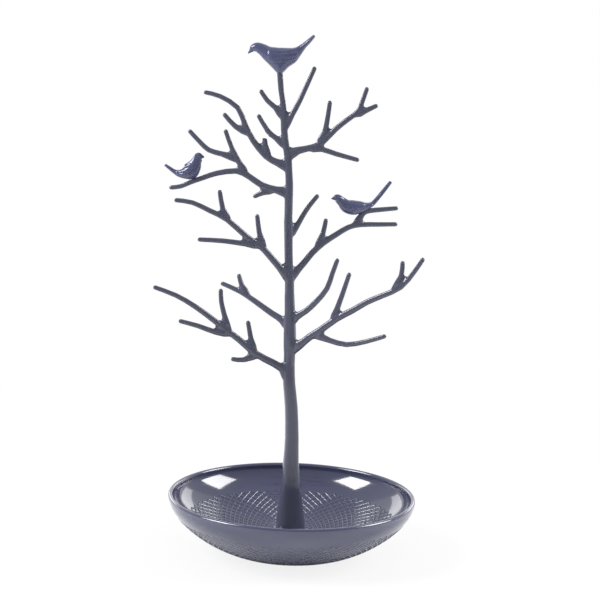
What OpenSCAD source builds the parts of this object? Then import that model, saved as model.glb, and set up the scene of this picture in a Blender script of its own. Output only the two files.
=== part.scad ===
// Jewelry tree: a bare tree with three birds on a round open dish.
// The tree packs flat. Four trunk sections, each a flat moulding with its own branches, push
// together with a round spigot in a socket, and the lowest one stands in the hub of the dish.
// Millimetres, +Z up, origin in the middle of the dish's foot, on the table.

/* [Dish] */
// Outer diameter at the lip
dish_d = 155; // [120:1:200]
// Height of the lip above the table
dish_h = 36; // [28:1:50]
// Thickness of the wall
dish_wall = 2.2; // [1.6:0.1:3.5]
// Thickness of the floor
dish_floor = 3; // [2:0.1:4]
// Diameter of the rolled bead along the lip
lip_d = 3; // [2.6:0.1:4]
// Diameter of the foot disc
foot_d = 64; // [50:1:90]
// Width of the foot ring
foot_ring_w = 4; // [3:0.5:8]
// Depth of the hollow under the foot
foot_hollow = 1; // [0.5:0.1:1.2]
// Height of the hub that carries the trunk
hub_h = 10; // [8:0.5:14]
// Diameter of the hub at its top
hub_d = 22; // [20.5:0.5:30]

/* [Trunk] */
// Height of the root section, from the hub to its joint
root_section_h = 110.7; // [95:0.1:130]
// Height of the lower tier, from joint to joint
lower_section_h = 47; // [40:0.5:58]
// Height of the upper tier, from joint to joint
upper_section_h = 46; // [39:0.5:57]
// Height of the crown, from its joint to the tip
crown_section_h = 84.6; // [72:0.1:104]
// Diameter of the root where it stands on the hub
root_d = 19; // [16:0.5:20]
// Diameter of the peg under the root
root_peg_d = 9; // [7:0.5:11]
// Length of the peg under the root
root_peg_h = 6; // [4:0.5:7]
// Diameter of the trunk at the joint above the root section
joint_a_d = 7.1; // [6:0.1:8.5]
// Diameter of the trunk at the joint in the middle
joint_b_d = 5.9; // [5:0.1:7]
// Diameter of the trunk at the joint below the crown
joint_c_d = 5.1; // [4.4:0.1:6]
// Diameter of the trunk at its tip
tip_d = 3.7; // [3.2:0.1:4.6]
// Wall of the sockets around the spigots
socket_wall = 1.1; // [0.9:0.05:1.3]
// Length of the spigots
spigot_h = 9; // [6:0.5:10]
// Radial clearance of every push fit
fit_gap = 0.05; // [0.02:0.01:0.1]

/* [Branches] */
// Reach of the longest branch of the root section
root_reach = 89; // [75:1:103]
// Reach of the longest branch of the lower tier
lower_reach = 83; // [70:1:96]
// Reach of the longest branch of the upper tier
upper_reach = 73; // [62:1:85]
// Reach of the longest branch of the crown
crown_reach = 73; // [62:1:85]
// Diameter of a main branch near the trunk
branch_d = 4.3; // [3.6:0.1:5]
// Diameter of a side twig near its fork
twig_d = 3.6; // [3:0.1:4.1]
// Diameter at the end of every twig
twig_tip_d = 2.7; // [2.2:0.1:3.1]
// Web in the crotch of a fork, as a share of the twig's diameter
web = 1.1; // [0.6:0.1:1.4]
// Depth of trunk and branches across their plane, as a share of their width
moulding_depth = 0.92; // [0.85:0.01:1]
// How flat the four faces of trunk and branches are: 2 is round, 4 is nearly square
faces = 2.9; // [2:0.1:4]

/* [Turn of the sections] */
// Turn of the root section about the trunk
root_turn = 12; // [-30:1:30]
// Turn of the lower tier
lower_turn = -20; // [-30:1:30]
// Turn of the upper tier
upper_turn = 18; // [-30:1:30]
// Turn of the crown
crown_turn = -6; // [-30:1:30]

/* [Birds] */
// Length of the bird on the tip, from beak to tail
top_bird_l = 39.9; // [32:0.1:46]
// Length of the bird on the left branch
left_bird_l = 24.1; // [21:0.1:27]
// Length of the bird on the right perch
right_bird_l = 38.4; // [33:0.1:42]
// Diameter of the peg under the bird on the tip
top_peg_d = 1.8; // [1.4:0.1:2]
// Length of the peg under the bird on the tip
top_peg_h = 4; // [3:0.5:6]
// Diameter of the pegs under the two branch birds
perch_peg_d = 1.3; // [1:0.1:1.5]
// Length of the pegs under the two branch birds
perch_peg_h = 2.2; // [1.6:0.1:2.4]

/* [Hidden] */
$fn = 64;

navy = [0.09, 0.10, 0.17];
navy_light = [0.12, 0.13, 0.21];

twig_sides = 12;
trunk_sides = 20;
bird_sides = 16;
seat_gap = 0.1;         // between a perched bird's saddle and its twig
overlap = 0.4;          // how far pieces of one moulding run into each other
end_gap = 0.4;          // free space past the end of a spigot or peg
peg_root = 3;           // how far a peg runs up into its bird
hub_fillet = 3;         // chamfer between the dish's floor and its hub

// ---- Trunk lines: [sideways, up, width], from the foot of each section ----

root_line = [
    [0, 0, root_d], [-0.3, 8, 17.4], [-0.5, 16, 15.8], [-0.8, 30, 12.7], [-1.3, 46, 9.7],
    [-1.2, 62, 8.5], [-2.2, 82, 7.9], [-4, 97, 7.5], [-4.4, 106, joint_a_d], [-4.4, 111, joint_a_d]];

lower_line = [
    [0, 0, joint_a_d], [0, 10, 7.3], [-0.2, 18, 7.4], [-0.5, 29, 6.4],
    [-1.2, 41, joint_b_d], [-1.4, 47, joint_b_d]];

upper_line = [
    [0, 0, joint_b_d], [-0.3, 6, 5.7], [-0.8, 12, 5], [-1.4, 22, 5],
    [-1.8, 32, 5.1], [-2.2, 40, joint_c_d], [-2.2, 46, joint_c_d]];

crown_line = [
    [0, 0, joint_c_d], [-0.1, 9, joint_c_d], [0, 17, 4.7], [-0.7, 26, 4.5], [-1.3, 33, 4.5],
    [-3, 42, 4.2], [-4.2, 50, 4.1], [-4.9, 61, 3.8], [-5.7, 68, 3.5], [-6.8, 74, 3.5],
    [-7.5, 80.5, tip_d - 0.1], [-7.9, 84.6, tip_d]];

// Where each section stands, found from the sections below it.
turns = [root_turn, lower_turn, upper_turn, crown_turn];
lines = [root_line, lower_line, upper_line, crown_line];
heights = [root_section_h, lower_section_h, upper_section_h, crown_section_h];
reaches = [root_reach, lower_reach, upper_reach, crown_reach];

function end_of(line) = line[len(line) - 1];
function turned(v, a) = [v.x * cos(a), v.x * sin(a), v.y];
function foot_of(k) = k == 0 ? [0, 0, hub_h]
    : foot_of(k - 1) + turned(placed(k - 1, end_of(lines[k - 1])), turns[k - 1]);

// The lines and branches below are drawn. A drawn point of section k lands at the section's set
// height and reach, and keeps its width.
function drawn_reach(k) = max([for (b = longest[k]) abs(b.x)]);
function placed(k, p) = [p.x * reaches[k] / drawn_reach(k), p.y * heights[k] / end_of(lines[k]).y,
                         for (i = [2:1:len(p) - 1]) p[i]];

// ---- Branches: points [sideways, up] from the foot of their section ----
// The first point lies inside the trunk or branch that carries the branch.

low_left = [[-3.9, 99], [-9, 107], [-20, 113], [-28, 118], [-36, 125], [-44, 131],
            [-53, 138], [-64, 146], [-76, 153], [-89, 158]];
low_left_up = [[-27, 117.5], [-29, 126], [-31, 136]];
low_left_down = [[-25, 116], [-33, 112.5], [-40, 113]];
low_left_tall = [[-43, 130.5], [-46, 141], [-48, 149], [-48.5, 156]];
low_left_out = [[-42, 129.5], [-51, 130], [-62, 134], [-73, 137]];

mid_left = [[0.2, 21], [-6, 26], [-12, 29], [-19, 33], [-26, 37], [-34, 41], [-46, 45]];
mid_left_up = [[-29, 38.5], [-33, 45], [-35, 51]];
mid_right = [[-0.9, 25], [4, 29], [10, 33], [17, 40], [23, 48], [26, 57], [29, 66]];
big_right = [[-0.5, 8], [6, 11], [13, 17], [20, 22], [30, 30], [40, 36], [49, 42],
             [59, 47], [70, 53], [78, 63], [83, 71]];
big_right_up = [[66, 51], [70, 60], [70.5, 68]];
big_right_mid = [[28, 28.5], [30, 36], [33, 45], [37, 58]];
big_right_low = [[16, 19], [26, 16], [37, 14.5], [49, 17.5], [61, 22]];

fork_left = [[0.3, 5.6], [-4, 9.2], [-9, 14.5], [-14, 20], [-19, 25], [-28, 31],
             [-41, 42], [-52, 47.5], [-63, 52.5], [-73, 54]];
fork_left_up = [[-17, 24], [-20.5, 34], [-22, 44]];
fork_left_low = [[-20, 26], [-29, 27], [-43, 29], [-58, 30]];
fork_left_tall = [[-40, 41], [-44, 49], [-46, 59]];
fork_right = [[-0.9, 5.4], [3, 8.6], [9, 15], [14, 21], [21, 27], [29, 32], [37, 36.5],
              [45, 38], [57, 38], [68, 38]];
fork_right_up = [[16.5, 23.5], [20.5, 33], [22, 41]];
perch_right = [[42, 37.6], [44.6, 43], [47.5, 46], [54, 47], [68, 48]];
short_right = [[-1.5, 32], [3, 37], [7, 44], [11, 50], [16, 56]];

crown_1_left = [[0.3, 12], [-8, 13.5], [-17, 16], [-25, 21], [-33, 24], [-45, 22],
                [-53, 19], [-61, 15.8], [-67, 13], [-73, 12]];
crown_1_left_down = [[-10, 14], [-16, 11.5], [-21, 9]];
crown_1_left_tall = [[-27, 22], [-31, 29], [-36, 38], [-40, 48]];
crown_1_left_out = [[-32.4, 31.5], [-42, 34], [-50, 36], [-56, 41], [-62, 47]];
crown_2_left = [[-0.3, 28], [-8, 30.3], [-15, 34], [-23, 43], [-28, 52], [-33, 62.5],
                [-44, 69], [-53, 71]];
crown_2_left_up = [[-14, 33.3], [-15.5, 41], [-16.5, 48]];
crown_2_left_mid = [[-26, 48], [-34, 51], [-41, 58]];
crown_right = [[-1.7, 35], [5, 38.2], [13, 40.3], [19, 43.5], [27, 52], [34, 58], [40, 63],
               [42.5, 69], [45, 77]];
crown_right_up = [[17.5, 42.5], [20.5, 50], [22, 59], [23, 68]];
crown_right_tip = [[38.5, 61.5], [45, 64], [51, 67]];
crown_right_low = [[10, 39.7], [19, 39.5], [28, 37], [41, 34]];
crown_3_left = [[-2.5, 40.4], [-9, 45], [-14, 49], [-20, 58]];
crown_3_right = [[-4.5, 50.7], [0.5, 60], [5, 69], [13, 88]];
crown_4_left = [[-4.5, 57.4], [-10, 63.5], [-15, 67.5], [-19, 73]];

// ---- Birds: [forward, up, height, breadth, wing], from the perch below them, beak first ----
// The wing is how far the folded wings stand out of the flanks there.

top_bird_rows = [
    [-19.7, 12, 0.6, 0.6, 0], [-18.2, 12.9, 2.5, 2.2, 0], [-16.7, 14.1, 5.3, 4.6, 0],
    [-14.3, 14.8, 7.6, 6.6, 0], [-11.2, 13.4, 8.5, 7.4, 0], [-7.7, 10.9, 10.6, 8.8, 0.6],
    [-4, 8.9, 12.9, 10, 0.8], [0.3, 7.5, 15.2, 10.4, 0.8], [4.5, 8.9, 12.6, 9.4, 0.8],
    [8.1, 10.6, 10, 7.6, 0.7], [11, 13.2, 7.2, 6, 0.4], [14.1, 16.9, 4.4, 5.4, 0],
    [17.3, 20.1, 3.2, 5.2, 0], [20.2, 23, 1.8, 4.4, 0]];

left_bird_rows = [
    [7.6, 13.7, 0.5, 0.5, 0], [6.3, 14, 2.4, 2.2, 0], [4.3, 13.6, 5.2, 4.8, 0],
    [2.8, 11.2, 6.2, 5.4, 0], [1.4, 8.4, 9.2, 7, 0.6], [-1.1, 5.2, 10.8, 7.6, 0.7],
    [-4.4, 3.8, 7.4, 6.2, 0.6], [-7.8, 3.5, 4.6, 4.4, 0.3], [-10.7, 4.5, 2.8, 3.6, 0],
    [-13.5, 6.3, 2.2, 3.6, 0], [-16.5, 8.3, 1.6, 3.2, 0]];

right_bird_rows = [
    [-19.8, 9.5, 0.5, 0.5, 0], [-18.3, 9.8, 2.2, 2, 0], [-16.1, 10, 4.8, 4.4, 0],
    [-13.1, 7.8, 6.1, 5.2, 0], [-9.7, 5, 8.3, 6.6, 0.6], [-5.4, 4, 9.2, 7.4, 0.7],
    [-0.8, 4.3, 7.6, 6.6, 0.6], [3.1, 4.8, 4.8, 5, 0.4], [6.7, 6, 3, 4, 0],
    [9.5, 8.7, 2.6, 3.8, 0], [13.9, 14, 2.5, 3.8, 0], [18.6, 19.9, 1.9, 3.4, 0]];

left_perch = [-60.4, 17.5];
right_perch = [44.9, 44.7];

// The longest branch of each section.
longest = [low_left, big_right, fork_left, crown_1_left];

// ---- Curves and skins ----

// A smooth curve through every row of p, with n steps between rows.
function smooth_step(a, b, c, d, t) =
    0.5 * (2 * b + (c - a) * t + (2 * a - 5 * b + 4 * c - d) * t * t
        + (3 * b - a - 3 * c + d) * t * t * t);
function smooth(p, n) = let(m = len(p)) concat(
    [for (i = [0:m - 2]) for (k = [0:n - 1])
        smooth_step(p[max(i - 1, 0)], p[i], p[i + 1], p[min(i + 2, m - 1)], k / n)],
    [p[m - 1]]);

// Length along p up to row i, and the heading there in degrees.
function run(p, i) = i == 0 ? 0 : run(p, i - 1) + norm([p[i].x - p[i - 1].x, p[i].y - p[i - 1].y]);
function heading(p, i) = let(a = p[max(i - 1, 0)], b = p[min(i + 1, len(p) - 1)])
    atan2(b.y - a.y, b.x - a.x);

// A closed tube over rings of points, each with the same number of sides.
module closed_tube(points, rings, sides) {
    walls = [for (i = [0:rings - 2]) for (k = [0:sides - 1])
        let(a = i * sides + k, b = i * sides + (k + 1) % sides)
        each [[a, b, a + sides], [b, b + sides, a + sides]]];
    ends = [[for (k = [sides - 1:-1:0]) k], [for (k = [0:sides - 1]) (rings - 1) * sides + k]];
    polyhedron(points, concat(walls, ends));
}

// A skin over rows [sideways, up, width, depth]. across[i] is the angle of row i's width, and
// square[i] how flat its four faces are. The sides are set out a little, so that they enclose as
// much as a smooth skin does.
module skin(rows, across, square, sides) {
    out = sqrt(2 * PI / (sides * sin(360 / sides))) / 2;
    points = [for (i = [0:len(rows) - 1]) for (k = [0:sides - 1])
        let(a = 360 * (k + 0.5) / sides, e = 2 / square[i],
            c = sign(cos(a)) * pow(abs(cos(a)), e) * rows[i][2] * out,
            d = sign(sin(a)) * pow(abs(sin(a)), e) * rows[i][3] * out)
        [rows[i].x + c * cos(across[i]), d, rows[i].y + c * sin(across[i])]];
    closed_tube(points, len(rows), sides);
}

// A straight-cut trunk section: its rings lie level, so that its ends meet face to face. It is
// round at its ends, where it meets a section that is turned another way.
module trunk(k) {
    rows = [for (r = smooth([for (p = lines[k]) placed(k, p)], 2)) [r.x, r.y, r[2], r[2] * moulding_depth]];
    m = len(rows) - 1;
    skin(rows, [for (r = rows) 180], [for (i = [0:m]) i < 2 || i > m - 2 ? 2 : faces], trunk_sides);
}

// A branch or twig of section k. It grows out of its carrier along the angle "carrier" with a
// webbed crotch, thins out towards its end, and ends round. "grow" widens it all round, for a seat
// that fits it.
module twig(k, path, d, carrier, grow = 0) {
    line = smooth([for (p = path) placed(k, p)], 2);
    m = len(line);
    total = run(line, m - 1);
    crotch = 2.6 * d;
    width = [for (i = [0:m - 1]) let(s = run(line, i))
        twig_tip_d + (d - twig_tip_d) * (1 - s / total) + web * d * pow(max(0, 1 - s / crotch), 2)];
    thick = [for (i = [0:m - 1]) let(s = run(line, i))
        min(width[i], d) * moulding_depth * (0.7 + 0.3 * min(1, s / d))];
    tip = line[m - 1];
    a_end = heading(line, m - 1);
    rows = concat(
        [for (i = [0:m - 1]) [line[i].x, line[i].y, width[i] + grow, thick[i] + grow]],
        [for (e = [[0.3, 0.72], [0.42, 0.34]])
            [tip.x + e[0] * twig_tip_d * cos(a_end), tip.y + e[0] * twig_tip_d * sin(a_end),
             e[1] * twig_tip_d + grow, e[1] * twig_tip_d + grow]]);
    first = heading(line, 0) + 90;
    skew = (carrier - first + 540) % 180;
    across = concat([first + (skew > 90 ? skew - 180 : skew)],
        [for (i = [1:m - 1]) heading(line, i) + 90], [a_end + 90, a_end + 90]);
    skin(rows, across, [for (r = rows) faces], twig_sides);
}

// Section k's own place: its foot on the section below, turned about the trunk.
module section(k) {
    translate(foot_of(k)) rotate([0, 0, turns[k]]) children();
}

module spigot(k, d) {
    translate(foot_of(k + 1) - [0, 0, overlap]) cylinder(d = d - 2 * socket_wall - 2 * fit_gap, h = spigot_h + overlap);
}

// The socket in the foot of section k. It also trims the foot level, so that it meets the section
// below face to face.
module socket(k, d) {
    translate(foot_of(k) - [0, 0, overlap])
        cylinder(d = d - 2 * socket_wall, h = spigot_h + end_gap + overlap);
    translate(foot_of(k) - [0, 0, d]) cylinder(d = 3 * d, h = d);
}

// A hole for a bird's peg below the point "perch" of section k.
module peg_hole(k, perch, d, h) {
    translate(foot_of(k) + turned(placed(k, perch), turns[k]) - [0, 0, h])
        cylinder(d = d + 2 * fit_gap, h = h + peg_root);
}

// ---- Pieces ----

function curve(a, b, c, d, n) = [for (i = [0:n]) let(t = i / n, u = 1 - t)
    u * u * u * a + 3 * u * u * t * b + 3 * u * t * t * c + t * t * t * d];

module dish_profile() {
    rim = dish_d / 2;
    foot = foot_d / 2;
    spread = rim - foot;
    lip = lip_d / 2;
    outside = curve([foot, 0], [foot + 0.54 * spread, 0.14 * dish_h],
                    [rim, 0.68 * dish_h], [rim, dish_h - lip], 14);
    inside = curve([rim - dish_wall, dish_h - lip], [rim - dish_wall, 0.68 * dish_h],
                   [foot + 0.54 * spread - dish_wall, 0.14 * dish_h + dish_floor], [foot, dish_floor], 14);
    hub = hub_d / 2;
    hole = root_peg_d / 2 + fit_gap;
    polygon(concat(
        [[0, 0], [hub, 0], [hub, foot_hollow], [foot - foot_ring_w, foot_hollow], [foot - foot_ring_w, 0]],
        outside, inside,
        [[hub + hub_fillet, dish_floor], [hub, dish_floor + hub_fillet], [hub, hub_h], [hole, hub_h],
         [hole, hub_h - root_peg_h - end_gap], [0, hub_h - root_peg_h - end_gap]]));
    translate([rim - lip, dish_h - lip]) circle(lip);
}

module dish() {
    color(navy) rotate_extrude() dish_profile();
}

module trunk_base() {
    color(navy) {
        section(0) {
            trunk(0);
            twig(0, low_left, branch_d + 0.6, 90);
            twig(0, low_left_up, twig_d, 142);
            twig(0, low_left_down, twig_d, 150);
            twig(0, low_left_tall, twig_d, 142);
            twig(0, low_left_out, twig_d, 142);
        }
        spigot(0, joint_a_d);
        translate([0, 0, hub_h - root_peg_h]) cylinder(d = root_peg_d, h = root_peg_h + overlap);
    }
}

module lower_tier() {
    color(navy) difference() {
        union() {
            section(1) {
                trunk(1);
                twig(1, mid_left, branch_d, 90);
                twig(1, mid_left_up, twig_d, 152);
                twig(1, mid_right, branch_d, 90);
                twig(1, big_right, branch_d + 0.7, 90);
                twig(1, big_right_up, twig_d, 30);
                twig(1, big_right_mid, twig_d, 38);
                twig(1, big_right_low, twig_d, 42);
            }
            spigot(1, joint_b_d);
        }
        socket(1, joint_a_d);
    }
}

module upper_tier() {
    color(navy) difference() {
        union() {
            section(2) {
                trunk(2);
                twig(2, fork_left, branch_d + 0.2, 90);
                twig(2, fork_left_up, twig_d, 132);
                twig(2, fork_left_low, twig_d, 140);
                twig(2, fork_left_tall, twig_d, 145);
                twig(2, fork_right, branch_d, 90);
                twig(2, fork_right_up, twig_d, 45);
                twig(2, perch_right, twig_d, 10);
                twig(2, short_right, twig_d, 90);
            }
            spigot(2, joint_c_d);
        }
        socket(2, joint_b_d);
        peg_hole(2, right_perch, perch_peg_d, perch_peg_h);
    }
}

module crown() {
    color(navy) difference() {
        section(3) {
            trunk(3);
            twig(3, crown_1_left, branch_d, 90);
            twig(3, crown_1_left_down, twig_d, 160);
            twig(3, crown_1_left_tall, twig_d, 150);
            twig(3, crown_1_left_out, twig_d, 115);
            twig(3, crown_2_left, branch_d, 90);
            twig(3, crown_2_left_up, twig_d, 150);
            twig(3, crown_2_left_mid, twig_d, 118);
            twig(3, crown_right, branch_d, 90);
            twig(3, crown_right_up, twig_d, 35);
            twig(3, crown_right_tip, twig_d, 42);
            twig(3, crown_right_low, twig_d, 10);
            twig(3, crown_3_left, twig_d, 100);
            twig(3, crown_3_right, twig_d, 100);
            twig(3, crown_4_left, twig_d, 100);
        }
        socket(3, joint_c_d);
        peg_hole(3, end_of(crown_line), top_peg_d, top_peg_h);
        peg_hole(3, left_perch, perch_peg_d, perch_peg_h);
    }
}

// A bird's skin, "length" long. "back" is 1 for a bird that faces left, -1 for one that faces right.
module bird_skin(drawn, length, back) {
    rows = smooth(drawn * (length / abs(end_of(drawn).x - drawn[0].x)), 2);
    m = len(rows);
    points = [for (i = [0:m - 1]) for (k = [0:bird_sides - 1])
        let(r = rows[i], a = 360 * (k + 0.5) / bird_sides, up = heading(rows, i) + 90,
            s = r[2] / 2 * cos(a), c = back * cos(a),
            wing = c > -0.2 && c < 0.9 ? r[4] * sign(sin(a)) : 0)
        [r.x + s * cos(up), r[3] / 2 * sin(a) + wing, r.y + s * sin(up)]];
    closed_tube(points, m, bird_sides);
}

module at_perch(k, perch) {
    translate(foot_of(k) + turned(placed(k, perch), turns[k])) rotate([0, 0, turns[k]]) children();
}

module peg(d, h) {
    translate([0, 0, -h]) cylinder(d = d, h = h + peg_root);
}

module bird_top() {
    color(navy_light) at_perch(3, end_of(crown_line)) {
        difference() {
            bird_skin(top_bird_rows, top_bird_l, 1);
            translate([-top_bird_l / 2, -top_bird_l / 2, -top_bird_l]) cube(top_bird_l);
        }
        peg(top_peg_d, top_peg_h);
    }
}

// A bird astride a twig, in a saddle that fits the twig's own shape.
module perched_bird(k, perch, length, drawn, back) {
    at = placed(k, perch);
    at_perch(k, perch) {
        difference() {
            bird_skin(drawn, length, back);
            translate([-at.x, 0, -at.y]) children();
        }
        peg(perch_peg_d, perch_peg_h);
    }
}

module bird_left() {
    color(navy_light) perched_bird(3, left_perch, left_bird_l, left_bird_rows, -1)
        twig(3, crown_1_left, branch_d, 90, seat_gap * 2);
}

module bird_right() {
    color(navy_light) perched_bird(2, right_perch, right_bird_l, right_bird_rows, 1)
        twig(2, perch_right, twig_d, 10, seat_gap * 2);
}

dish();
trunk_base();
lower_tier();
upper_tier();
crown();
bird_top();
bird_left();
bird_right();
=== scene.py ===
"""Jewelry tree: a bare tree with three birds on a round open dish, in glossy navy plastic."""
import math

import bmesh
import bpy
import numpy as np
from mathutils import Matrix, Vector


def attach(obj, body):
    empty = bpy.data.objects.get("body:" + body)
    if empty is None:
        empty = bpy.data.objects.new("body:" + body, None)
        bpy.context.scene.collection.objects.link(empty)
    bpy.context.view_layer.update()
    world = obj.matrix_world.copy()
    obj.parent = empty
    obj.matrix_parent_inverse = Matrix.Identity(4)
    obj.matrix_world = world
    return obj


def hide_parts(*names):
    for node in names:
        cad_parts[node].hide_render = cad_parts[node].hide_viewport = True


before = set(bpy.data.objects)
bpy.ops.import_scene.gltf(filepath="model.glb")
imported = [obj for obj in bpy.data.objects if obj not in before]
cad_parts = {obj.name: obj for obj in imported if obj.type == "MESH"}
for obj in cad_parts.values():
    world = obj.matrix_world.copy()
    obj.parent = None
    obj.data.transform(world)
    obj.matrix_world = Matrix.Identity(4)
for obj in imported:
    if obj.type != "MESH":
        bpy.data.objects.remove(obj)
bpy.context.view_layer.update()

bl_info = {
    "name": "Jewelry tree",
    "version": (1, 0, 0),
    "blender": (4, 5, 0),
    "location": "3D View > Sidebar > Jewelry tree",
    "description": "Builds a jewelry tree of moulded plastic on its dish, with a studio stage",
    "category": "Object",
}

MM = 0.001

# Sections of the tree from the root up: the offset [sideways, up] from the section's foot to
# the foot of the next one, the section's turn about the trunk in degrees, and the width of the
# joint above it. Lengths here and below are in millimetres.
RISE = [(-4.4, 110.7), (-1.4, 47), (-2.2, 46), (-7.9, 84.6)]
TURN = [12, -20, 18, -6]
JOINT_WIDTH = [7.1, 5.9, 5.1]
FIRST_FOOT = Vector((0, 0, 10))
ROOT_WIDTH, ROOT_PEG_WIDTH, ROOT_PEG_LENGTH = 19.0, 9.0, 6.0
DEPTH = 0.92  # of the trunk across its branches' plane, as a share of its width
SOCKET_WALL = 1.1
SPIGOT_LENGTH = 9.0
FIT_GAP = 0.05  # round a spigot or peg
END_GAP = 0.4  # past the end of a spigot or peg

# How the ends of a section are made: its shape runs on past the joint as a stub, the socket is
# plugged, and after the webs are grown both are cut away again, level and sharp.
STUB, STUB_SHARE = 3.0, 0.995  # length, and width as a share of the joint's
PLUG_PAST, PLUG_WIDER = 1.0, 0.6
CUT_REACH, CUT_WIDER = 13.0, 6.0
OVERLAP = 0.3  # of two shapes that are joined

# Corners [sideways, up] of a wedge taken off the crown's moulding, so that a short twig ends clear
# of the branch above it.
TWIG_GAP = [(-19, 44.8), (-15.5, 44.8), (-13.6, 43.6), (-12.2, 44.9), (-15, 47.4), (-17.6, 51.6),
            (-19, 51.6)]

# The plastic of each kind of piece: lit copies of one navy plastic. Each scales the navy's red,
# green and blue as painted light: the thin mouldings are painted a little lighter than the dish,
# and the branches greyer, for how the light falls on them. Lengths are in metres.
FINISHES_AND_PAINTED_LIGHT = {
    "Dish plastic": {"painted_light_tint": (1, 1, 1.04), "lacquer": 0.6, "wave": 0.010, "patch": 0.03,
                     "ripple": 1},
    "Tree plastic": {"painted_light_tint": (1.3, 1.3, 1.06), "lacquer": 0.1, "wave": 0.006, "patch": 0.02,
                     "ripple": 1},
    "Bird plastic": {"painted_light_tint": (1.3, 1.35, 1.45), "lacquer": 0.1, "wave": 0.004, "patch": 0.01,
                     "ripple": 0.5}}
EDGE_HIGHLIGHT_SHARE = 0.15  # of the pale painted highlight colour at the sharpest edges

# The stage, in metres and degrees
CAMERA_PLACE, CAMERA_DOWN, CAMERA_ROLL = (0.00108, -1.17518, 0.36608), 9.97, 1.904
LAMP_TARGET, LAMP_DISTANCE = Vector((0, 0, 0.1)), 1.3
LAMP_AREA = 0.7  # of a softbox at the strength that is set, in square metres
SHADOW_NEAR, SHADOW_FAR = 0.16, 0.5  # distances between which the sweep fades to plain white
# Softboxes: name, degrees right of the camera, degrees up, width, height, share of the strength
SOFTBOXES = (("softbox_left", -76, 35, 0.60, 0.70, 1.0), ("softbox_right", 92, 30, 0.60, 0.72, 0.8),
             ("rim_strip", -147, 14, 0.80, 0.30, 0.14), ("rim_strip", 147, 14, 0.80, 0.30, 0.14))


def foot(k):
    """Foot of section k, in millimetres."""
    place = FIRST_FOOT.copy()
    for (sideways, up), turn in list(zip(RISE, TURN))[:k]:
        a = math.radians(turn)
        place += Vector((sideways * math.cos(a), sideways * math.sin(a), up))
    return place


# ---- Sizes and colours that a user would change ----

class PlasticSettings(bpy.types.PropertyGroup):
    navy: bpy.props.FloatVectorProperty(
        name="Navy", description="Colour of the moulded plastic", subtype="COLOR",
        size=3, min=0, max=1, default=(0.052, 0.056, 0.104))
    # The pale edge colour is a painted highlight: the light that sharp edges catch, painted into
    # the colour.
    pale: bpy.props.FloatVectorProperty(
        name="Pale edge", description="Colour that the plastic takes along its thin edges",
        subtype="COLOR", size=3, min=0, max=1, default=(0.11, 0.115, 0.17))
    polish: bpy.props.FloatProperty(
        name="Polish", description="Roughness of untouched plastic", subtype="FACTOR",
        min=0.02, max=0.6, default=0.10)
    handled: bpy.props.FloatProperty(
        name="Handled", description="Roughness where hands and cloths have dulled it",
        subtype="FACTOR", min=0.02, max=0.8, default=0.17)
    ripple: bpy.props.FloatProperty(
        name="Mould ripple", description="Depth of the waves left by the mould", unit="LENGTH",
        min=0, max=0.0005, precision=6, default=0.000014)


class TreeSettings(bpy.types.PropertyGroup):
    crotch: bpy.props.FloatProperty(
        name="Crotch radius", description="Radius of the web where a twig leaves its branch",
        unit="LENGTH", min=0.0003, max=0.004, precision=5, default=0.0008)
    grain: bpy.props.FloatProperty(
        name="Mesh size", description="Edge length of the faces of the tree", unit="LENGTH",
        min=0.0003, max=0.002, precision=5, default=0.00042)


class DishSettings(bpy.types.PropertyGroup):
    width: bpy.props.FloatProperty(
        name="Width", description="Outer diameter at the lip", unit="LENGTH", default=0.155)
    height: bpy.props.FloatProperty(
        name="Height", description="Height of the lip above the table", unit="LENGTH",
        default=0.036)
    wall: bpy.props.FloatProperty(
        name="Wall", description="Thickness of the wall", unit="LENGTH", default=0.0022)
    floor: bpy.props.FloatProperty(
        name="Floor", description="Thickness of the floor", unit="LENGTH", default=0.003)
    lip: bpy.props.FloatProperty(
        name="Lip", description="Diameter of the rolled lip", unit="LENGTH", default=0.003)
    foot_width: bpy.props.FloatProperty(
        name="Foot", description="Diameter of the foot disc", unit="LENGTH", default=0.064)
    foot_ring: bpy.props.FloatProperty(
        name="Foot ring", description="Width of the foot ring", unit="LENGTH", default=0.004)
    foot_hollow: bpy.props.FloatProperty(
        name="Foot hollow", description="Depth of the hollow under the foot", unit="LENGTH",
        default=0.001)
    hub_width: bpy.props.FloatProperty(
        name="Hub", description="Diameter of the hub that carries the trunk", unit="LENGTH",
        default=0.022)
    hub_height: bpy.props.FloatProperty(
        name="Hub height", description="Height of the hub above the table", unit="LENGTH",
        default=0.010)
    ribs: bpy.props.IntProperty(
        name="Lattice ribs", description="Ribs of one slant round the wall", min=12, max=200,
        default=72)
    rib_width: bpy.props.FloatProperty(
        name="Rib width", description="Width of a lattice rib", unit="LENGTH", precision=5,
        default=0.0018)
    rib_slant: bpy.props.FloatProperty(
        name="Rib slant", description="How far a rib turns about the dish on its way up the wall",
        subtype="ANGLE", default=math.radians(40))


class StageSettings(bpy.types.PropertyGroup):
    lamp: bpy.props.FloatProperty(
        name="Softboxes", description="Strength of the two softboxes", min=0, max=200, default=31)
    front: bpy.props.FloatProperty(
        name="Front", description="Strength of the room behind the camera", min=0, max=2,
        default=0.4)
    back: bpy.props.FloatProperty(
        name="Back", description="Strength of the pale tent behind the object", min=0, max=2,
        default=0.7)
    shade: bpy.props.FloatProperty(
        name="Shade", description="How much of the object's shadow the white sweep shows",
        subtype="FACTOR", min=0, max=1, default=0.15)
    lens: bpy.props.FloatProperty(
        name="Lens", description="Focal length of the camera in millimetres", min=20, max=300,
        default=116.23)


# ---- Effects that the finishes share, the painted edge highlight among them ----

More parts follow.
